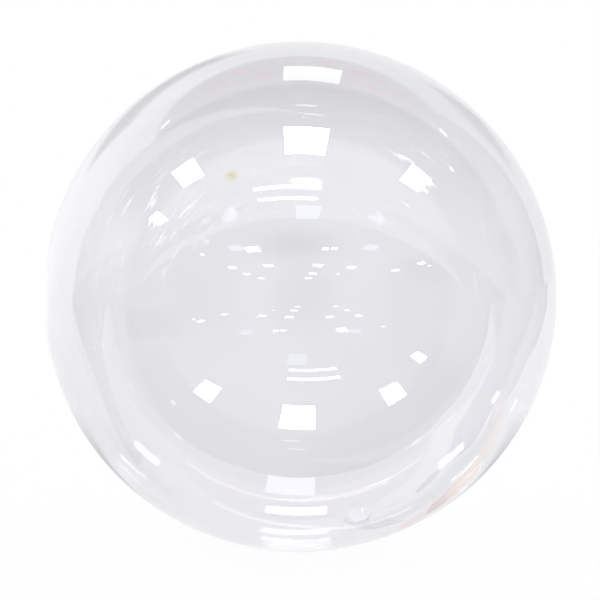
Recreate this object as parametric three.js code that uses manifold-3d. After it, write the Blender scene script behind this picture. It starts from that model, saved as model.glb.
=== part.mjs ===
// Clear bubble balloon: a blown ball of clear film resting on a table, closed by its own
// neck, which is gathered, pressed flat, sealed and tucked under the ball at its back right.
// Millimetres, +Z up, +Y to the back, the table at z = 0 under the centre of the ball.
import * as THREE from 'three';
import { mergeVertices } from 'three/addons/utils/BufferGeometryUtils.js';
import Module from 'manifold-3d';

const wasm = await Module();
wasm.setup();

// Driving dimensions
const ballDiameter = 560;
const footRadius = 36; // the flat where the film gives under the balloon's weight
const neckAngle = THREE.MathUtils.degToRad(20); // from the underside up to the neck
const neckTurn = THREE.MathUtils.degToRad(45); // from straight back round to the right
const gatherHeight = 4; // from the ball's skin to where the neck starts to bend
const gatherFlare = 7; // how much wider the gather is at the skin than the neck
const flareReach = 4; // how quickly that flare dies away along the neck
const rootDepth = 7; // the neck's root buried in the ball
const pleatCount = 10;
const pleatDepth = 0.09; // share of the gather's radius
const neckWidth = 24; // pressed flat
const neckThickness = 1.6; // both films and the weld between them
const flatLength = 52; // the sealed, flat stretch that lies on the table

// How finely the curves are divided
const ballSides = 64;
const ballRings = 36; // from pole to pole
const facetsPerPleat = 4;
const gatherSteps = 4;
const bendSteps = 8;
const flatSteps = 3;
const neckSides = pleatCount * facetsPerPleat;
const weldDistance = 1e-3; // vertices closer than this are one

const ballRadius = ballDiameter / 2;
const footAngle = Math.asin(footRadius / ballRadius);
const centreHeight = ballRadius * Math.cos(footAngle);

const clearFilm = new THREE.MeshStandardMaterial({
  name: 'clear_film',
  color: 0xeeeef4,
  roughness: 0.05,
  metalness: 0,
  transparent: true,
  opacity: 0.3,
  side: THREE.DoubleSide,
});

const { clamp, lerp, smoothstep } = THREE.MathUtils;

// A closed three.js geometry as a solid: shared vertices merged, empty triangles dropped
function solidOf(geometry) {
  const bare = geometry.clone();
  bare.deleteAttribute('normal');
  bare.deleteAttribute('uv');
  const merged = mergeVertices(bare, weldDistance);
  const corners = merged.index.array;
  const kept = [];
  for (let i = 0; i < corners.length; i += 3) {
    const [a, b, c] = corners.slice(i, i + 3);
    if (a !== b && b !== c && c !== a) kept.push(a, b, c);
  }
  return new wasm.Manifold(new wasm.Mesh({
    numProp: 3,
    vertProperties: new Float32Array(merged.attributes.position.array),
    triVerts: new Uint32Array(kept),
  }));
}

function geometryOf(solid) {
  const mesh = solid.getMesh();
  const geometry = new THREE.BufferGeometry();
  geometry.setAttribute('position', new THREE.BufferAttribute(mesh.vertProperties, 3));
  geometry.setIndex(new THREE.BufferAttribute(mesh.triVerts, 1));
  geometry.computeVertexNormals();
  return geometry;
}

// The ball about its own centre: the foot's flat disc, then a circle from its edge to the crown
function ballGeometry() {
  const profile = [new THREE.Vector2(0, -centreHeight), new THREE.Vector2(footRadius, -centreHeight)];
  for (let ring = 1; ring < ballRings; ring++) {
    const angle = Math.PI * ring / ballRings;
    if (angle <= footAngle) continue;
    profile.push(new THREE.Vector2(ballRadius * Math.sin(angle), -ballRadius * Math.cos(angle)));
  }
  profile.push(new THREE.Vector2(0, ballRadius));
  const geometry = new THREE.LatheGeometry(profile, ballSides);
  geometry.rotateX(Math.PI / 2);
  return geometry;
}

// The neck's middle line, in the ball's own frame, drawn as if it ran straight to the back.
// It leaves the ball square to its skin, then turns through an arc until it lies level on
// the table and runs outwards.
const bendAngle = Math.PI / 2 - neckAngle;
const neckLevel = neckThickness / 2 - centreHeight; // height of the middle line on the table
const bendDrop = -(ballRadius + gatherHeight) * Math.cos(neckAngle) - neckLevel;
const bendRadius = bendDrop / (1 - Math.cos(bendAngle));
const bendLength = bendRadius * bendAngle;
const neckOut = new THREE.Vector3(0, Math.sin(neckAngle), -Math.cos(neckAngle));

// A point on the middle line and its heading, a distance along it from the ball's skin
function neckLineAt(distance) {
  if (distance <= gatherHeight) {
    return { point: neckOut.clone().multiplyScalar(ballRadius + distance), heading: -bendAngle };
  }
  const turned = Math.min((distance - gatherHeight) / bendRadius, bendAngle);
  const heading = turned - bendAngle;
  const run = Math.max(distance - gatherHeight - bendLength, 0);
  const point = neckOut.clone().multiplyScalar(ballRadius + gatherHeight);
  point.y += bendRadius * (Math.sin(heading) + Math.sin(bendAngle)) + run;
  point.z -= bendRadius * (Math.cos(heading) - Math.cos(bendAngle));
  return { point, heading };
}

// The neck's section: a pleated round at the skin that is pressed to a flat strip by the
// time it reaches the table. The strip is level right up to the last facet at each edge.
const edgeSharpness = 1 / Math.sin(2 * Math.PI / neckSides);
function neckOffset(distance, turn) {
  const flatness = smoothstep(distance, 0, gatherHeight + bendLength);
  const flare = gatherFlare * Math.exp(-Math.max(distance, 0) / flareReach);
  const halfWidth = neckWidth / 2 + flare;
  const halfDepth = lerp(halfWidth, neckThickness / 2, flatness);
  const pleat = 1 + pleatDepth * (1 - flatness) * Math.cos(pleatCount * turn);
  const level = clamp(Math.sin(turn) * edgeSharpness, -1, 1);
  return {
    across: halfWidth * pleat * Math.cos(turn),
    through: halfDepth * pleat * lerp(Math.sin(turn), level, flatness),
  };
}

// Evenly spaced distances after a start, up to and including its end
function spaced(start, length, count) {
  return Array.from({ length: count }, (_, i) => start + length * (i + 1) / count);
}

const neckStops = [
  -rootDepth,
  0,
  ...spaced(0, gatherHeight, gatherSteps),
  ...spaced(gatherHeight, bendLength, bendSteps),
  ...spaced(gatherHeight + bendLength, flatLength, flatSteps),
];

// A unit cylinder's grid of vertices, each ring moved to its stop along the middle line, and
// what would pass through the table pressed flat on it. Then the whole neck is turned to
// its own side of the ball.
function neckGeometry() {
  const lastStop = neckStops.length - 1;
  const geometry = new THREE.CylinderGeometry(1, 1, lastStop, neckSides, lastStop);
  const place = geometry.attributes.position;
  for (let i = 0; i < place.count; i++) {
    const distance = neckStops[Math.round(place.getY(i) + lastStop / 2)];
    const rim = Math.hypot(place.getX(i), place.getZ(i)); // 0 in the middle of an end
    const { point, heading } = neckLineAt(distance);
    const { across, through } = neckOffset(distance, Math.atan2(place.getZ(i), place.getX(i)));
    const height = point.z + rim * through * Math.cos(heading);
    place.setXYZ(
      i,
      rim * across,
      point.y - rim * through * Math.sin(heading),
      Math.max(height, -centreHeight),
    );
  }
  geometry.rotateZ(-neckTurn);
  return geometry;
}

const envelope = new THREE.Mesh(
  geometryOf(solidOf(ballGeometry()).add(solidOf(neckGeometry()))),
  clearFilm,
);
envelope.name = 'balloon_envelope';
envelope.position.z = centreHeight;

const balloon = new THREE.Group();
balloon.add(envelope);

export default balloon;
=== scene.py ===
import math
import bpy
import numpy as np
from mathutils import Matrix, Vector


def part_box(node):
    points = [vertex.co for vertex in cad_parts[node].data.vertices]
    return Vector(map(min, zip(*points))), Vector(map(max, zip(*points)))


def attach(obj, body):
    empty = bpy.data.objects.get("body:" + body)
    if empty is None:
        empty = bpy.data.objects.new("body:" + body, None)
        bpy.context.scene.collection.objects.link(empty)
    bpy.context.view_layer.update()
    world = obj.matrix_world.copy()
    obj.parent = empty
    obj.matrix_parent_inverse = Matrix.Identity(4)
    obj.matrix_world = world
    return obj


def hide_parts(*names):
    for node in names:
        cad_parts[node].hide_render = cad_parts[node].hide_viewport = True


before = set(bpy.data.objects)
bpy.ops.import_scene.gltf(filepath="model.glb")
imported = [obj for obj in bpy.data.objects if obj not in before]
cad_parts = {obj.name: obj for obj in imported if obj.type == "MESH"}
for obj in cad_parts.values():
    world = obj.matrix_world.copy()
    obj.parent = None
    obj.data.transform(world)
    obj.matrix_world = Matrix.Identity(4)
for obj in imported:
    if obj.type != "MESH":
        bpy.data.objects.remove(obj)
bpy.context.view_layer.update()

scene = bpy.context.scene

# the ball, measured on the frame
low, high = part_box("balloon_envelope")
ballRadius = (high.x - low.x) / 2
ballCentre = Vector((0, 0, high.z - ballRadius))
print("frame loaded, ball", round(2 * ballRadius, 3), "m across")


class Sock:
    # wraps a shader socket, so that sums and products on it add their Math nodes
    def __init__(self, nodes, links, socket):
        self.nodes, self.links, self.socket = nodes, links, socket

    def math(self, operation, *others, clamp=False, swapped=False):
        # one Math node with this socket in front of the others, or after them where swapped
        node = self.nodes.new("ShaderNodeMath")
        node.operation, node.use_clamp = operation, clamp
        values = (*others, self) if swapped else (self, *others)
        for slot, value in zip(node.inputs, values):
            if isinstance(value, Sock):
                self.links.new(value.socket, slot)
            else:
                slot.default_value = value
        return Sock(self.nodes, self.links, node.outputs[0])

    def __add__(self, other):
        return self.math("ADD", other)

    def __radd__(self, other):
        return self.math("ADD", other, swapped=True)

    def __sub__(self, other):
        return self.math("SUBTRACT", other)

    def __rsub__(self, other):
        return self.math("SUBTRACT", other, swapped=True)

    def __mul__(self, other):
        return self.math("MULTIPLY", other)

    def __rmul__(self, other):
        return self.math("MULTIPLY", other, swapped=True)

    def __gt__(self, other):
        return self.math("GREATER_THAN", other)

    def __lt__(self, other):
        return self.math("LESS_THAN", other)

    def clip(self):
        return self.math("ADD", 0.0, clamp=True)

    def rising(self, start, slope):
        # slope (value - start), held between 0 and 1
        return ((self - start) * slope).clip()


class Tree:
    # a material's or the world's node tree, emptied, with one method for any node
    def __init__(self, owner):
        owner.use_nodes = True
        self.nodes, self.links = owner.node_tree.nodes, owner.node_tree.links
        self.nodes.clear()

    def node(self, kind, settings=None, **inputs):
        # an input is named in words, as Base_Color, or by its place, as _0
        node = self.nodes.new(kind)
        for name, value in (settings or {}).items():
            setattr(node, name, value)
        for name, value in inputs.items():
            place = name[1:]
            slot = node.inputs[int(place) if place.isdigit() else name.replace("_", " ")]
            if isinstance(value, Sock):
                self.links.new(value.socket, slot)
            else:
                slot.default_value = value
        return node

    def out(self, node, name=0):
        return Sock(self.nodes, self.links, node.outputs[name])

    def axes(self, vector):
        # the vector's x, y and z as three sockets
        parts = self.node("ShaderNodeSeparateXYZ", Vector=vector)
        return (self.out(parts, i) for i in range(3))

    def noise(self, vector, scale, detail):
        node = self.node("ShaderNodeTexNoise", {"noise_dimensions": "3D"},
                         Vector=vector, Scale=scale, Detail=detail)
        return self.out(node)

    def bounced(self, kind):
        # 1 where the ray has been sent on in this way at least once, which is a depth above 0
        return self.out(self.node("ShaderNodeLightPath"), kind + " Depth") > 0.5

    def mixed(self, share, first, second):
        # the first shader, passing into the second by the share
        both = self.node("ShaderNodeMixShader", _0=share, _1=self.out(first), _2=self.out(second))
        return self.out(both)

    def finish(self, kind, surface):
        # the surface goes into an output node of this kind
        output = self.node(kind)
        self.links.new(surface.socket, output.inputs["Surface"])


# camera, a little above the ball's middle
view = {
    "distance": 5.58 * ballRadius,
    "elevation": math.radians(4.2),
    "outlineShare": 0.8553,  # of the view's width that the ball's outline takes
    "aimBelowCentre": 0.0024,
    "sensor": 36,  # millimetres across
}

camera = bpy.data.objects.new("camera", bpy.data.cameras.new("camera"))
scene.collection.objects.link(camera)
scene.camera = camera
outwards = Vector((0, -math.cos(view["elevation"]), math.sin(view["elevation"])))
camera.location = ballCentre + outwards * view["distance"]
aim = ballCentre - Vector((0, 0, view["aimBelowCentre"]))
camera.rotation_euler = (aim - camera.location).to_track_quat("-Z", "Y").to_euler()
outlineTan = math.tan(math.asin(ballRadius / view["distance"]))
camera.data.sensor_width = view["sensor"]
camera.data.lens = view["sensor"] * view["outlineShare"] / 2 / outlineTan
print("camera set,", round(camera.data.lens, 1), "mm")

# the ball of film
film = {
    "thickness": 0.00025,
    "around": 192,
    "ballRows": 130,
    "nearRows": 40,  # finer rows over the puckers next to the neck
    "nearAngle": math.radians(16),
    "slack": 0.0003,  # how far the film lies inside the ball's full radius
    "sag": 0.0002,
    "sagSide": 0.6,  # how much of the sag leans to one side, and how much lies near the top
    "sagTop": 0.5,
    "sagInset": 0.5,  # share of the sag that the ball is drawn in by
    "sagFade": 0.03,  # it comes in over this length of skin from the gather
    "footRounding": 0.0001,
    "leanAcross": 0.0026,  # how far the front and back bulge to one side and upwards
    "leanUp": 0.0034,
    "leanBetween": (-1.0, -0.8),  # it comes in between these heights, in radii from the middle
    "puckers": (11, 17, 26, 37),  # waves that go round, one number for each cosine
    "puckerHeight": 0.00012,
    "puckerReach": 0.009,  # along the skin from the gather
    "puckerTwist": 1.7,
}
# the neck, gathered and pressed flat
neck = {
    "angle": math.radians(20),  # from the underside up to the neck
    "turn": math.radians(45),  # from straight back round to the right
    "gatherHeight": 0.004,
    "halfWidth": 0.012,
    "filletRadius": 0.008,
    "filletRows": 9,
    "thickness": 0.0009,
    "flatLength": 0.052,
    "pleats": 10,
    "pleatDepth": 0.035,
    "pleatBetween": (-0.001, 0.003),  # they come in over this stretch out of the ball
    "bendRows": 20,
    "flatRows": 40,
    "sealLength": 0.006,  # where the two films are one at the neck's end
}


def smoothStep(low, high, x):
    # t^2 (3 - 2t), where t goes from 0 at low to 1 at high
    t = np.clip((x - low) / (high - low), 0, 1)
    return t * t * (3 - 2 * t)


def neckLine(reach, level):
    # the middle line of the neck: straight out from the ball, then an arc of radius
    # drop / (1 - cos turn) until it is level, then straight on to the back
    out = np.array([0, math.sin(neck["angle"]), -math.cos(neck["angle"])])
    turn = math.pi / 2 - neck["angle"]
    start = out * (ballRadius + neck["gatherHeight"]) + np.array(ballCentre)
    radius = (start[2] - level) / (1 - math.cos(turn))
    heading = np.clip((reach - neck["gatherHeight"]) / radius, 0, turn) - turn
    run = np.maximum(reach - neck["gatherHeight"] - radius * turn, 0)
    straight = np.minimum(reach - neck["gatherHeight"], 0)
    y = start[1] + straight * out[1] + radius * (np.sin(heading) + math.sin(turn)) + run
    z = start[2] + straight * out[2] - radius * (np.cos(heading) - math.cos(turn))
    return y, z, heading, neck["gatherHeight"] + radius * turn


def filmProfile(inset):
    # rows from the crown, opposite the neck, to the cut end: each has a distance out of the
    # ball's skin along the neck's line, and a radius about that line. A circle for the ball,
    # a small arc for the fillet, then the neck's half width.
    sphere = ballRadius - film["slack"] - inset
    fillet = neck["filletRadius"] + inset
    width = neck["halfWidth"] - inset
    meet = math.asin((width + fillet) / (sphere + fillet))
    filletHeight = math.sqrt((sphere + fillet) ** 2 - (width + fillet) ** 2)
    polar = np.concatenate([
        np.linspace(math.pi, film["nearAngle"], film["ballRows"], endpoint=False)[1:],
        np.linspace(film["nearAngle"], meet, film["nearRows"]),
    ])
    arc = np.linspace(meet, math.pi / 2, neck["filletRows"])[1:]
    level = neck["thickness"] / 2
    flatStart = neckLine(np.zeros(1), level)[3]
    bend = np.linspace(filletHeight - ballRadius, flatStart, neck["bendRows"])[1:]
    flat = np.linspace(flatStart, flatStart + neck["flatLength"], neck["flatRows"])[1:]
    height = np.concatenate([sphere * np.cos(polar), filletHeight - fillet * np.cos(arc)]) - ballRadius
    radius = np.concatenate([sphere * np.sin(polar), width + fillet - fillet * np.sin(arc)])
    reach = np.concatenate([height, bend, flat])
    radius = np.concatenate([radius, np.full(len(bend) + len(flat), width)])
    skin = np.concatenate([sphere * polar, np.zeros(len(arc) + len(bend) + len(flat))])
    return reach, radius, skin - skin[len(polar) - 1] * (skin > 0), flatStart


def filmSurface(inset):
    # a point is the profile's row, turned about the neck's line and pressed flat along the
    # neck, with puckers (cosines of the turn that die away from the gather) and a slow sag.
    # The neck is swung round to its side, and the ball's height is fitted between the table
    # and the top: z = top / 2 (1 + rise). Front and back bulge by lean (y / radius)^2, and
    # nothing goes below the table: z = inset + (over + sqrt(over^2 + rounding^2)) / 2
    reach, radius, skin, flatStart = filmProfile(inset)
    turn = np.linspace(0, 2 * math.pi, film["around"], endpoint=False)[None, :]
    reach, radius, skin = reach[:, None], radius[:, None], skin[:, None]
    flatness = smoothStep(0, flatStart, reach)
    onBall = reach < 0
    pucker = sum(np.cos(k * turn + film["puckerTwist"] * k) for k in film["puckers"]) / len(film["puckers"])
    pucker = pucker * film["puckerHeight"] * np.exp(-skin / film["puckerReach"]) * onBall
    pleatDepth = neck["pleatDepth"] * (1 - flatness) * smoothStep(*neck["pleatBetween"], reach)
    pleat = 1 + pleatDepth * np.cos(neck["pleats"] * turn)

    # the gathered section is round, and the pressed one is two level sides that meet at its edges
    steepness = 1 / math.sin(2 * math.pi / film["around"])
    level = np.clip(np.sin(turn) * steepness, -1, 1)
    halfDepth = radius * (1 - flatness) + (neck["thickness"] / 2 - inset) * flatness
    through = halfDepth * pleat * (np.sin(turn) * (1 - flatness) + level * flatness)
    lineY, lineZ, heading, _ = neckLine(reach, neck["thickness"] / 2)
    x = radius * pleat * np.cos(turn)
    y = lineY - through * np.sin(heading)
    z = lineZ + through * np.cos(heading)
    cosTurn, sinTurn = math.cos(neck["turn"]), math.sin(neck["turn"])
    x, y = x * cosTurn + y * sinTurn, y * cosTurn - x * sinTurn

    across, back, up = x / ballRadius, y / ballRadius, (z - ballCentre.z) / ballRadius
    sag = film["sag"] * (across * up - film["sagSide"] * back * across + film["sagTop"] * up ** 3)
    sag = sag * onBall * np.clip(skin / film["sagFade"], 0, 1) - film["sagInset"] * film["sag"] * onBall
    lift = 1 + (pucker + sag) / ballRadius
    x, y, z = x * lift, y * lift, (z - ballCentre.z) * lift + ballCentre.z
    rise = (z - ballCentre.z) / ballRadius
    z = z + (high.z / 2 * (1 + rise) - z) * (1 - flatness)
    lean = (y / ballRadius) ** 2 * smoothStep(*film["leanBetween"], rise)
    x, z = x + film["leanAcross"] * lean, z + film["leanUp"] * lean
    over = z - inset
    z = inset + (over + np.sqrt(over ** 2 + film["footRounding"] ** 2 * (skin > 0))) / 2
    return np.stack([x, y, z], -1)


def closedGrid(rows, inwards=False):
    # quads round each pair of rows, a fan at the first row's pole and one over the last row
    count, around = rows.shape[:2]
    poles = np.stack([rows[0].mean(0), rows[-1].mean(0)])
    points = np.concatenate([rows.reshape(-1, 3), poles])
    i, j = np.meshgrid(np.arange(count - 1), np.arange(around), indexing="ij")
    k = (j + 1) % around
    quads = np.stack([i * around + j, (i + 1) * around + j, (i + 1) * around + k, i * around + k], -1)
    quads = quads.reshape(-1, 4)
    ring, after = np.arange(around), (np.arange(around) + 1) % around
    top = np.stack([np.full(around, count * around), ring, after], -1)
    last = (count - 1) * around
    end = np.stack([last + ring, np.full(around, count * around + 1), last + after], -1)
    faces = quads.tolist() + top.tolist() + end.tolist()
    if inwards:
        faces = [f[::-1] for f in faces]
    return points, faces


def meshObject(name, parts):
    # the parts one after another in one mesh, each part's faces moved on past the points before it
    points, faces, start = [], [], 0
    for partPoints, partFaces in parts:
        points.append(partPoints)
        faces += [[v + start for v in f] for f in partFaces]
        start += len(partPoints)
    mesh = bpy.data.meshes.new(name)
    mesh.from_pydata(np.concatenate(points).tolist(), [], faces)
    mesh.shade_smooth()
    mesh.update()
    piece = bpy.data.objects.new(name, mesh)
    scene.collection.objects.link(piece)
    return piece


outer = filmSurface(0.0)
inner = filmSurface(film["thickness"])
reach, _, _, flatStart = filmProfile(film["thickness"])
inner = inner[reach < flatStart + neck["flatLength"] - neck["sealLength"]]
balloon = meshObject("clear_film_balloon", [closedGrid(outer), closedGrid(inner, inwards=True)])
print("film made,", len(balloon.data.polygons), "faces")

# clear film material. A pair called From is where something starts and how steeply it rises, and
# one called Grain is a noise's scale and its layers of detail
clear = {
    "tint": (0.93, 0.93, 0.952),
    "paintedReflectionAt": (-0.006, 0.21),  # a painted dark reflection on the film, as shares of the outline seen from the front
    "paintedReflectionSize": (0.034, 0.013),
    "paintedReflectionDepth": 0.10,
    "speck": (-0.267, 0.476),
    "speckSize": (0.00468, 0.0036),
    "speckTint": (0.10, 0.13, 0.42),  # how much of each colour it takes away
    "speckGrain": (420.0, 2.0),
    "speckStrength": 2.4,
    "mottle": 0.022,  # how far the noise lightens and darkens the film
    "mottleGrain": (14.0, 4.0),
    # the streaks' painted glint: how far they lighten the film's colour
    "streakPaintedGlint": 0.08,
    "streakRoughness": 0.38,
    "streakLength": 6.0,  # noise cells in a radian round the ball, and away from its middle
    "streakWidth": 52.0,
    "streakGrain": (1.0, 1.0),
    "streakFrom": (0.61, 9.0),
    "patchGrain": (7.0, 1.0),  # the streaks come in patches
    "patchFrom": (0.385, 9.0),
    "upperFrom": (-0.15, 2.0),  # up the ball, in its radii
    "facingFrom": (0.5, 6.0),  # towards the front or back, in its radii
    "besideFrom": (0.045, 14.0),  # to the left or right, in metres
    "refraction": 1.5,
    "shadowTint": (0.975, 0.975, 0.98, 1),
}


def frontPoint(across, up):
    # the point of the ball that shows at these shares of its outline's radius, seen from the
    # camera: sin(incidence) = distance sin(off axis) / radius
    share = math.hypot(across, up)
    offAxis = math.atan(share * outlineTan)
    turn = math.asin(math.sin(offAxis) * view["distance"] / ballRadius) - offAxis
    upwards = Vector((0, math.sin(view["elevation"]), math.cos(view["elevation"])))
    sideways = (Vector((across, 0, 0)) + upwards * up) / share
    return ballCentre + ballRadius * (outwards * math.cos(turn) + sideways * math.sin(turn))


def clearFilmMaterial():
    material = bpy.data.materials.new("clear_film")
    tree = Tree(material)
    where = tree.out(tree.node("ShaderNodeTexCoord"), "Object")
    x, y, z = tree.axes(where)
    nearSide = y < 0.0

    def spot(share, width, height):
        # exp(-(x / width)^2 - (z / height)^2) about a point of the ball's near side
        middle = frontPoint(*share)
        run = (x - middle.x) * (1 / width)
        rise = (z - middle.z) * (1 / height)
        away = run * run + rise * rise
        return (away * -1.0).math("EXPONENT") * nearSide

    # short rubbed streaks on the ball's upper part, rougher, and lighter by a painted glint: noise
    # stretched along the turn about Y, cut to its crests, and kept to patches that face forwards or back
    # and lie off the middle
    up = z - ballCentre.z
    turn = x.math("ARCTAN2", up)
    reachOut = (x * x + up * up).math("SQRT").math("ARCTAN2", y.math("ABSOLUTE"))
    cells = (turn * clear["streakLength"], reachOut * clear["streakWidth"], y)
    cells = tree.node("ShaderNodeCombineXYZ", _0=cells[0], _1=cells[1], _2=cells[2])
    ridge = tree.noise(tree.out(cells), *clear["streakGrain"]).rising(*clear["streakFrom"])
    ridge = ridge * tree.noise(where, *clear["patchGrain"]).rising(*clear["patchFrom"])
    ridge = ridge * (up * (1 / ballRadius)).rising(*clear["upperFrom"])
    ridge = ridge * (y.math("ABSOLUTE") * (1 / ballRadius)).rising(*clear["facingFrom"])
    ridge = ridge * x.math("ABSOLUTE").rising(*clear["besideFrom"])

    # each colour: the tint, less the painted dark reflection and the speck, lightened by the streaks'
    # painted glint, and with mottle, which is a noise about its middle, 0.5
    # painted dark reflection: a soft darker spot just above the middle of the near side
    paintedReflectionShade = spot(clear["paintedReflectionAt"], *clear["paintedReflectionSize"]) * clear["paintedReflectionDepth"]
    crumb = tree.noise(where, *clear["speckGrain"]) * clear["speckStrength"]
    crumb = (crumb * spot(clear["speck"], *clear["speckSize"])).clip()
    light = 1.0 - paintedReflectionShade + (tree.noise(where, *clear["mottleGrain"]) - 0.5) * clear["mottle"]
    # painted glint along the streaks
    light = light + ridge * clear["streakPaintedGlint"]
    tint = [(light * share - crumb * less).clip() for share, less in zip(clear["tint"], clear["speckTint"])]
    colour = tree.node("ShaderNodeCombineColor", _0=tint[0], _1=tint[1], _2=tint[2])
    skin = tree.node("ShaderNodeBsdfPrincipled", Base_Color=tree.out(colour), IOR=clear["refraction"],
                     Roughness=ridge * clear["streakRoughness"], Transmission_Weight=1)
    passing = tree.node("ShaderNodeBsdfTransparent", Color=clear["shadowTint"])
    shadowRay = tree.out(tree.node("ShaderNodeLightPath"), "Is Shadow Ray")
    tree.finish("ShaderNodeOutputMaterial", tree.mixed(shadowRay, skin, passing))
    return material


balloon.data.materials.append(clearFilmMaterial())
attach(balloon, "root")
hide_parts("balloon_envelope")
print("film dressed")

# floor; its pairs called From, To and Sides are a start and a slope as well
floor = {
    "front": -0.25,  # the table's near edge
    "back": 14.0,
    "side": 6.0,
    "shadowShare": 0.2,  # how far it takes light and shadow
    "mirrored": 0.93,  # its white in a reflection
    "paintedLightGain": 0.2,  # painted light: whiter there towards the left
    "paintedLightFrom": (-0.4, -0.9),
    "paintedShadowLoss": 0.35,  # painted shadow of the ball: darker there on a patch behind it
    "paintedShadowFrom": (0.1, 8.0),
    "paintedShadowTo": (0.85, -4.0),
    "paintedShadowSides": (0.5, -5.0),
}
floorDepth = floor["back"] - floor["front"]
white = (1, 1, 1, 1)


def plate(name, width, depth, place, turn=(0, 0, 0)):
    # a rectangle about its own middle, facing down unless it is turned
    mesh = bpy.data.meshes.new(name)
    w, d = width / 2, depth / 2
    mesh.from_pydata([(-w, -d, 0), (-w, d, 0), (w, d, 0), (w, -d, 0)], [], [(0, 1, 2, 3)])
    piece = bpy.data.objects.new(name, mesh)
    scene.collection.objects.link(piece)
    piece.location = place
    piece.rotation_euler = turn
    return piece


def floorMaterial():
    # mostly its own even white glow, so that the film's soft shadow on it stays faint, and only that glow
    # in a reflection, where it has painted light towards the left and a painted shadow of the ball behind
    # it. The floor is turned over, so its own y runs forwards.
    material = bpy.data.materials.new("floor")
    tree = Tree(material)
    reflected = tree.bounced("Glossy")
    across, forwards, _ = tree.axes(tree.out(tree.node("ShaderNodeTexCoord"), "Object"))
    behind = floorDepth / 2 + floor["front"] - forwards
    # painted light towards the left, and the ball's painted shadow on a patch behind it
    paintedLightToLeft = across.rising(*floor["paintedLightFrom"])
    paintedShadow = behind.rising(*floor["paintedShadowFrom"]) * behind.rising(*floor["paintedShadowTo"])
    paintedShadow = paintedShadow * across.math("ABSOLUTE").rising(*floor["paintedShadowSides"])
    # in a reflection: the even white, with painted light towards the left, less the ball's painted shadow
    mirrored = floor["mirrored"] + paintedLightToLeft * floor["paintedLightGain"] - paintedShadow * floor["paintedShadowLoss"]
    strength = 1.0 - reflected * (1.0 - mirrored)
    even = tree.node("ShaderNodeEmission", Color=white, Strength=strength)
    surface = tree.node("ShaderNodeBsdfDiffuse", Color=white)
    share = floor["shadowShare"] * (1.0 - reflected)
    tree.finish("ShaderNodeOutputMaterial", tree.mixed(share, even, surface))
    return material


middle = floor["front"] + floorDepth / 2
ground = plate("floor", 2 * floor["side"], floorDepth, (0, middle, 0), (math.pi, 0, 0))
ground.data.materials.append(floorMaterial())
print("floor laid")

# studio, which shows only in the film's reflections
panelSize = (0.6, 0.6)
studio = {
    "height": 2.24,  # ceiling above the ball's centre
    "yaw": math.radians(-2),
    # each kind of ceiling light: its width and depth, its colour, its glow, and the (x, y) of each
    "lights": {
        "panel": (panelSize, white, 60, [(0.06, -0.82)]),
        "panel_side": (panelSize, white, 24, [(-2.03, -0.78), (2.13, -0.88), (-4.0, -1.41)]),
        "panel_back": (panelSize, white, 2.3, [(0.12, 0.97)]),
        "tube": ((1.29, 0.09), white, 24, [(-0.31, -1.96), (-0.31, -2.33)]),
        "panel_pale": (panelSize, (0.93, 1.0, 1.06, 1), 2.0, [(0.14, -2.9), (-2.7, -4.85), (2.76, -4.75)]),
        "panel_far": (panelSize, white, 10, [
            (-2.05, -5.2), (-4.4, -7.7), (-2.0, -7.8), (0.9, -7.9), (3.0, -8.0), (-4.2, -9.8),
            (0.75, -10.1), (-3.7, -11.8), (0.5, -12.0), (6.5, -7.7), (7.0, -5.3)]),
        "spot": ((0.26, 0.26), white, 10, [
            (0.93, -5.3), (1.3, -5.25), (2.7, -10.0), (8.1, -5.35), (-4.7, -4.9), (-12.9, -8.4)]),
        "slot": ((0.2, 0.1), white, 2.5, [(-1.81, 0.98), (2.0, 0.97), (2.66, 0.21)]),  # behind the ball
        "dash": ((0.24, 0.035), white, 2.2, [(0.15, -0.23), (0.06, -0.03)]),  # nearly overhead
    },
    # the table's side edges on both sides of the ball, with two painted highlight lines on the table in
    # front of it: a colour, then x, y and width along them
    "edges": [
        ((0.62, 0.62, 0.64, 1), [
            (-0.27, -0.085, 0.05), (-0.6, -0.066, 0.08), (-1.02, 0.02, 0.2), (-3, 0.5, 1.2),
            (-13, 3.0, 6.4)]),
        ((0.3, 0.3, 0.32, 1), [
            (0.27, -0.13, 0.03), (0.33, -0.13, 0.1), (0.47, -0.12, 0.12), (1, 0.02, 0.26), (3, 0.6, 1.7),
            (12, 3.9, 8.4)]),
        ((0.56, 0.56, 0.58, 1), [
            (0.4, -0.035, 0.03), (0.55, 0.0, 0.08), (0.97, 0.25, 0.2), (3, 2.2, 1.2), (12, 9.7, 6)]),
        ((0.35, 0.37, 0.37, 1), [(0.17, -0.127, 0.008), (0.2, -0.13, 0.02), (0.23, -0.13, 0.01)]),
        # painted highlights: two lines brighter than white on the table in front of the ball
        ((1.5, 1.5, 1.5, 1), [(-0.2, -0.2, 0.007), (0.22, -0.2, 0.007)]),
        ((1.35, 1.35, 1.35, 1), [(-0.12, -0.15, 0.006), (0, -0.145, 0.007), (0.15, -0.096, 0.007)]),
        ((0.96, 0.80, 0.82, 1), [(0.12, -0.033, 0.04), (0.165, -0.026, 0.05)]),
        ((0.80, 0.61, 0.57, 1), [(0.165, -0.026, 0.05), (0.205, -0.012, 0.07)]),
        ((0.96, 0.77, 0.62, 1), [(0.205, -0.012, 0.07), (0.30, 0.02, 0.085)]),
        ((0.97, 0.84, 0.72, 1), [(0.30, 0.02, 0.085), (0.60, 0.0, 0.08)]),
    ],
    "edgeHeight": 0.001,
}


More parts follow.
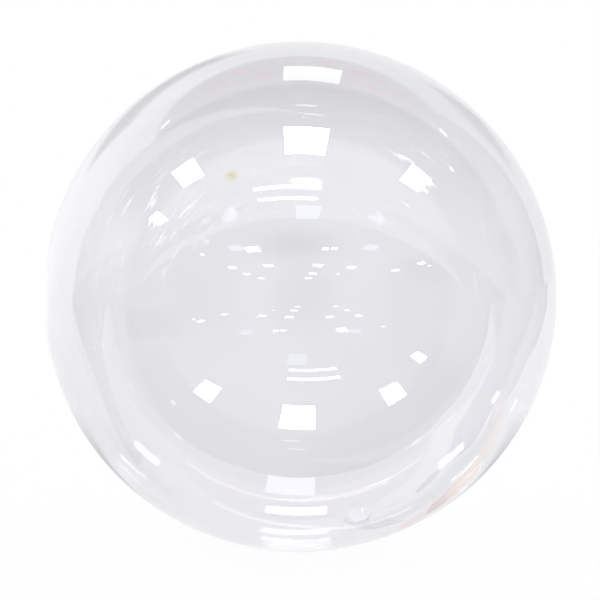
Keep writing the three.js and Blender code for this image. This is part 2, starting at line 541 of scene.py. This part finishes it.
def glowMaterial(name, colour, strength):
    # shines only in a reflection that the camera sees, and is clear air otherwise
    material = bpy.data.materials.new(name)
    material.cycles.emission_sampling = "NONE"
    tree = Tree(material)
    shown = tree.bounced("Glossy") * (1.0 - tree.bounced("Diffuse"))
    air = tree.node("ShaderNodeBsdfTransparent")
    glow = tree.node("ShaderNodeEmission", Color=colour, Strength=strength)
    tree.finish("ShaderNodeOutputMaterial", tree.mixed(shown, air, glow))
    return material


def reflectedOnly(piece, material):
    # seen in the film's reflections, but lights nothing and hides nothing
    piece.data.materials.append(material)
    piece.visible_camera = piece.visible_diffuse = piece.visible_shadow = False


def ceilingRow(name, size, colour, glow, places):
    # one card for each place, level under the ceiling and turned by its yaw
    material = glowMaterial(name + "_glow", colour, glow)
    for index, (x, y) in enumerate(places):
        place = (x, y, ballCentre.z + studio["height"])
        card = plate(f"{name}_{index}", *size, place, (0, 0, studio["yaw"]))
        reflectedOnly(card, material)


def edgeStrip(name, points, colour):
    # a level strip along the points: each point moved half its width square to its heading
    line, half = np.array(points)[:, :2], np.array(points)[:, 2:] / 2
    heading = np.gradient(line, axis=0)
    square = np.stack([-heading[:, 1], heading[:, 0]], -1) / np.linalg.norm(heading, axis=1)[:, None]
    sides = np.concatenate([line + square * half, line - square * half])
    count = len(line)
    faces = [(i, i + 1, count + i + 1, count + i) for i in range(count - 1)]
    mesh = bpy.data.meshes.new(name)
    mesh.from_pydata([(x, y, studio["edgeHeight"]) for x, y in sides.tolist()], [], faces)
    piece = bpy.data.objects.new(name, mesh)
    scene.collection.objects.link(piece)
    reflectedOnly(piece, glowMaterial(name, colour, 1.0))


for kind, light in studio["lights"].items():
    ceilingRow(kind, *light)
for index, (colour, points) in enumerate(studio["edges"]):
    edgeStrip(f"table_edge_{index}", points, colour)
print("lights hung")

# the room round the table: tones of the world that the film mirrors or lets through
room = {
    "front": 0.42,
    "ceiling": 0.58,
    "overhead": 0.0,
    "groundLeft": 0.34,
    "groundRight": 0.08,
    "groundCast": (0.03, 0.02, -0.05),
    "leftWhite": 0.74,
    "leftGap": 0.6,
    "rightWall": 0.08,
    "rightLow": 0.42,
    "rightHigh": 0.55,
    "box": 0.12,  # something low at the left
    "viewer": 0.14,  # straight in front
    "white": 1.14,  # the backdrop behind the ball, from left to right
    "whiteMiddle": 0.95,
    "whiteRight": 0.84,
    "dark": 0.62,  # two darker gaps in it
    "pink": (0.76, 0.38, 0.48),
    "pinkGrain": (16.0, 4.0),
    "pinkCrests": (0.46, 0.60),
    "throughTop": (0.905, 0.898, 0.886),  # the white behind the film, high up
    "overheadDepth": (-0.24, 0.34, 0.05),  # how far back the heading points, at most 1
    "viewerDepth": (0.955, 0.99),  # how far forwards it points, at most 1
    # in degrees: where a tone comes in, or its two sides and how soft they are. Up is the height
    # above level. Turn is to the right, from straight behind the ball where it is marked so, and
    # from straight in front of it elsewhere
    "spans": {
        "ceilingUp": (18, 40),
        "overheadUp": (10, 26),
        "groundUp": (-25, -8),
        "groundTurn": (-15, 40),
        "leftWhiteTurn": (-104, -80, 3),
        "leftWhiteUp": (14, 34),
        "leftGapTurn": (-116, -103, 2),
        "rightWallTurn": (35, 112, 8),
        "rightWallUp": (-30, 18, 4),
        "rightTurn": (112, 150, 6),
        "rightUp": (18, 34),
        "rightHighUp": (0, 14),
        "boxTurn": (-80, -54, 1),
        "boxUp": (-13, -4, 0.6),
        "backdropTurn": (-64.5, 44, 1.5),  # from behind
        "backdropUp": (42, 45),
        "whiteMiddleTurn": (-34, -12),  # from behind
        "whiteRightTurn": (8, 42),  # from behind
        "leftDarkTurn": (-36, -8, 3),  # from behind
        "rightDarkTurn": (20, 36, 3),  # from behind
        "darkUp": (16, 28, 3),
        "pinkTurn": (-40, 42, 9),  # from behind
        "pinkUp": (47, 63, 2),
        "throughUp": (1.2, 5.0),
    },
}
world = bpy.data.worlds.new("studio")
scene.world = world
tree = Tree(world)


def ramp(value, low, high):
    # 0 below low, 1 above high, smooth between
    node = tree.node("ShaderNodeMapRange", {"interpolation_type": "SMOOTHSTEP"},
                     Value=value, From_Min=low, From_Max=high)
    return tree.out(node)


def window(value, low, high, soft):
    # 1 between low and high, 0 outside them, smooth by soft on either side of each
    return ramp(value, low - soft, low + soft) * (1.0 - ramp(value, high - soft, high + soft))


def within(value, name):
    # a ramp for a span of two angles, a window for a span of three
    angles = [math.radians(angle) for angle in room["spans"][name]]
    return ramp(value, *angles) if len(angles) == 2 else window(value, *angles)


def blend(base, value, share):
    # base + (value - base) share
    return base + (value - base) * share


heading = tree.out(tree.node("ShaderNodeTexCoord"), "Generated")
dx, dy, dz = tree.axes(heading)
fromBehind = dx.math("ARCTAN2", dy)
fromFront = dx.math("ARCTAN2", dy * -1.0)
elevation = dz.math("ARCSINE")
clean = 1.0 - tree.bounced("Diffuse")  # rays that no dull surface sent on
reflected = tree.bounced("Glossy") * clean
through = tree.bounced("Transmission") * (1.0 - reflected) * clean

shade = blend(room["front"], room["ceiling"], within(elevation, "ceilingUp"))
overhead = window(dy, *room["overheadDepth"]) * within(elevation, "overheadUp")
shade = blend(shade, room["overhead"], overhead)
onGround = 1.0 - within(elevation, "groundUp")
groundShade = blend(room["groundLeft"], room["groundRight"], within(fromFront, "groundTurn"))
shade = blend(shade, groundShade, onGround)
leftWhite = within(fromFront, "leftWhiteTurn") * (1.0 - within(elevation, "leftWhiteUp"))
shade = blend(shade, room["leftWhite"], leftWhite)
shade = blend(shade, room["leftGap"], within(fromFront, "leftGapTurn"))
rightWall = within(fromFront, "rightWallTurn") * within(elevation, "rightWallUp")
shade = blend(shade, room["rightWall"], rightWall)
right = within(fromFront, "rightTurn") * (1.0 - within(elevation, "rightUp"))
rightShade = blend(room["rightLow"], room["rightHigh"], within(elevation, "rightHighUp"))
shade = blend(shade, rightShade, right)
box = within(fromFront, "boxTurn") * within(elevation, "boxUp")
shade = blend(shade, room["box"], box)
shade = blend(shade, room["viewer"], ramp(dy * -1.0, *room["viewerDepth"]))
backdrop = within(fromBehind, "backdropTurn") * (1.0 - within(elevation, "backdropUp"))
backdropWhite = blend(room["white"], room["whiteMiddle"], within(fromBehind, "whiteMiddleTurn"))
backdropWhite = blend(backdropWhite, room["whiteRight"], within(fromBehind, "whiteRightTurn"))
shade = blend(shade, backdropWhite, backdrop)
gaps = within(fromBehind, "leftDarkTurn") + within(fromBehind, "rightDarkTurn")
shade = blend(shade, room["dark"], gaps * within(elevation, "darkUp"))

pink = within(elevation, "pinkUp") * within(fromBehind, "pinkTurn")
pink = pink * ramp(tree.noise(heading, *room["pinkGrain"]), *room["pinkCrests"])
highUp = within(elevation, "throughUp") * through
channels = []
for pinkTone, cast, topTone in zip(room["pink"], room["groundCast"], room["throughTop"]):
    seen = blend(shade + onGround * (1.0 - backdrop) * cast, pinkTone, pink)
    channels.append(blend(1.0 - highUp * (1.0 - topTone), seen, reflected))
colour = tree.node("ShaderNodeCombineColor", _0=channels[0], _1=channels[1], _2=channels[2])
sky = tree.node("ShaderNodeBackground", Color=tree.out(colour), Strength=1.0)
tree.finish("ShaderNodeOutputWorld", tree.out(sky))

# enough bounces to pass both skins of both walls several times over
bounces = 32
scene.view_settings.view_transform = "Standard"
scene.cycles.max_bounces = bounces
scene.cycles.transmission_bounces = bounces
scene.cycles.glossy_bounces = bounces // 2
scene.cycles.transparent_max_bounces = bounces
scene.cycles.sample_clamp_indirect = 0
scene.cycles.blur_glossy = 0
print("studio lit")
